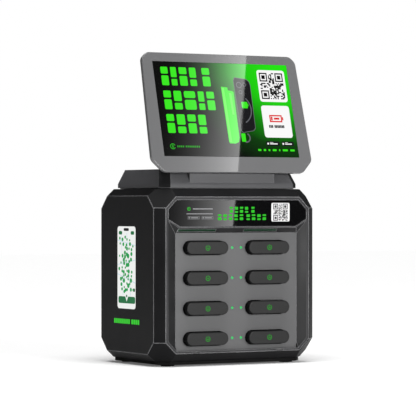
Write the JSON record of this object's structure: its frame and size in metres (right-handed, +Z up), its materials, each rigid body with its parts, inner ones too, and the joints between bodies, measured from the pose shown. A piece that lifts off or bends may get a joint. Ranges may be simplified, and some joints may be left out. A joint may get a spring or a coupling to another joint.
{
  "type": "phone charging kiosk",
  "caption": "Countertop power bank rental station: chamfered black housing with two columns of charging slots, header strip and a large tilting display on a plinth.",
  "frame": {"origin": "on the floor under the middle of the kiosk's bounding box", "axes": "+Z up, -Y out of the slot face towards the customer, +X to the customer's right"},
  "size_m": [0.2578, 0.181, 0.433],
  "materials": {
    "housing_black": "satin moulded ABS, fine spark texture",
    "frame_dark": "satin moulded ABS, dark grey",
    "panel_grey": "grey painted panel, low sheen",
    "header_gloss": "high gloss black acrylic with printed graphics",
    "bank_shell": "soft touch dark grey",
    "indicator_green": "translucent light pipe, lit green",
    "led_cover": "dark green translucent diffuser, unlit",
    "rubber": "matte black rubber",
    "steel": "bare rolled steel",
    "bezel_grey": "gloss grey border",
    "screen": "lit display behind polished glass",
    "board_green": "solder mask on glass fibre board",
    "nylon": "natural nylon"
  },
  "bodies": {
    "root": {"base_plate": "rubber", "bottom_cover": "housing_black", "corner_post_front_left": "housing_black", "corner_post_front_right": "housing_black", "corner_post_rear_left": "housing_black", "corner_post_rear_right": "housing_black", "foot_front_left": "rubber", "foot_front_right": "rubber", "foot_rear_left": "rubber", "foot_rear_right": "rubber", "front_frame": "frame_dark", "header_panel": "header_gloss", "hinge_pin": "steel", "indicator_pipe_left": "indicator_green", "indicator_pipe_right": "indicator_green", "latch_rail": "steel", "led_bar_left": "led_cover", "led_bar_right": "led_cover", "main_board": "board_green", "plinth": "frame_dark", "power_inlet": "housing_black", "power_supply": "steel", "rear_panel": "housing_black", "side_panel_left": "housing_black", "side_panel_right": "housing_black", "slot_cassette_1": "frame_dark", "slot_cassette_2": "frame_dark", "slot_cassette_3": "frame_dark", "slot_cassette_4": "frame_dark", "slot_cassette_5": "frame_dark", "slot_cassette_6": "frame_dark", "slot_cassette_7": "frame_dark", "slot_cassette_8": "frame_dark", "slot_panel": "panel_grey", "top_cover": "housing_black"},
    "display": {"display_bezel": "bezel_grey", "lcd_panel": "screen", "display_back_shell": "housing_black", "hinge_bracket": "steel"},
    "switch": {"rocker_switch": "housing_black"},
    "door": {"service_door": "frame_dark"},
    "lock": {"lock_barrel": "steel", "lock_cam": "steel"},
    "bank_1": {"power_bank_1": "bank_shell"},
    "latch_1": {"slot_latch_1": "nylon"},
    "bank_2": {"power_bank_2": "bank_shell"},
    "latch_2": {"slot_latch_2": "nylon"},
    "bank_3": {"power_bank_3": "bank_shell"},
    "latch_3": {"slot_latch_3": "nylon"},
    "bank_4": {"power_bank_4": "bank_shell"},
    "latch_4": {"slot_latch_4": "nylon"},
    "bank_5": {"power_bank_5": "bank_shell"},
    "latch_5": {"slot_latch_5": "nylon"},
    "bank_6": {"power_bank_6": "bank_shell"},
    "latch_6": {"slot_latch_6": "nylon"},
    "bank_7": {"power_bank_7": "bank_shell"},
    "latch_7": {"slot_latch_7": "nylon"},
    "bank_8": {"power_bank_8": "bank_shell"},
    "latch_8": {"slot_latch_8": "nylon"}
  },
  "joints": [
    {"name": "bank_1_slide", "type": "slide", "parent": "root", "child": "bank_1", "axis": [0, -1, 0], "range_m": [0, 0.14]},
    {"name": "bank_2_slide", "type": "slide", "parent": "root", "child": "bank_2", "axis": [0, -1, 0], "range_m": [0, 0.14]},
    {"name": "bank_3_slide", "type": "slide", "parent": "root", "child": "bank_3", "axis": [0, -1, 0], "range_m": [0, 0.14]},
    {"name": "bank_4_slide", "type": "slide", "parent": "root", "child": "bank_4", "axis": [0, -1, 0], "range_m": [0, 0.14]},
    {"name": "bank_5_slide", "type": "slide", "parent": "root", "child": "bank_5", "axis": [0, -1, 0], "range_m": [0, 0.14]},
    {"name": "bank_6_slide", "type": "slide", "parent": "root", "child": "bank_6", "axis": [0, -1, 0], "range_m": [0, 0.14]},
    {"name": "bank_7_slide", "type": "slide", "parent": "root", "child": "bank_7", "axis": [0, -1, 0], "range_m": [0, 0.14]},
    {"name": "bank_8_slide", "type": "slide", "parent": "root", "child": "bank_8", "axis": [0, -1, 0], "range_m": [0, 0.14]},
    {"name": "latch_1_slide", "type": "slide", "parent": "root", "child": "latch_1", "axis": [-1, 0, 0], "range_m": [0, 0.004], "stiffness_N_per_m": 12},
    {"name": "latch_2_slide", "type": "slide", "parent": "root", "child": "latch_2", "axis": [-1, 0, 0], "range_m": [0, 0.004], "stiffness_N_per_m": 12},
    {"name": "latch_3_slide", "type": "slide", "parent": "root", "child": "latch_3", "axis": [-1, 0, 0], "range_m": [0, 0.004], "stiffness_N_per_m": 12},
    {"name": "latch_4_slide", "type": "slide", "parent": "root", "child": "latch_4", "axis": [-1, 0, 0], "range_m": [0, 0.004], "stiffness_N_per_m": 12},
    {"name": "latch_5_slide", "type": "slide", "parent": "root", "child": "latch_5", "axis": [1, 0, 0], "range_m": [0, 0.004], "stiffness_N_per_m": 12},
    {"name": "latch_6_slide", "type": "slide", "parent": "root", "child": "latch_6", "axis": [1, 0, 0], "range_m": [0, 0.004], "stiffness_N_per_m": 12},
    {"name": "latch_7_slide", "type": "slide", "parent": "root", "child": "latch_7", "axis": [1, 0, 0], "range_m": [0, 0.004], "stiffness_N_per_m": 12},
    {"name": "latch_8_slide", "type": "slide", "parent": "root", "child": "latch_8", "axis": [1, 0, 0], "range_m": [0, 0.004], "stiffness_N_per_m": 12},
    {"name": "display_tilt", "type": "hinge", "parent": "root", "child": "display", "pos_m": [0, -0.05349, 0.27319], "axis": [-1, 0, 0], "range_deg": [-4, 15]},
    {"name": "switch_rock", "type": "hinge", "parent": "root", "child": "switch", "pos_m": [-0.035, 0.086, 0.06], "axis": [-1, 0, 0], "range_deg": [0, 20]},
    {"name": "door_swing", "type": "hinge", "parent": "root", "child": "door", "pos_m": [-0.076, 0.0885, 0.1545], "axis": [0, 0, 1], "range_deg": [0, 100]},
    {"name": "lock_turn", "type": "hinge", "parent": "door", "child": "lock", "pos_m": [0.064, 0.0905, 0.1545], "axis": [0, 1, 0], "range_deg": [0, 90]}
  ]
}
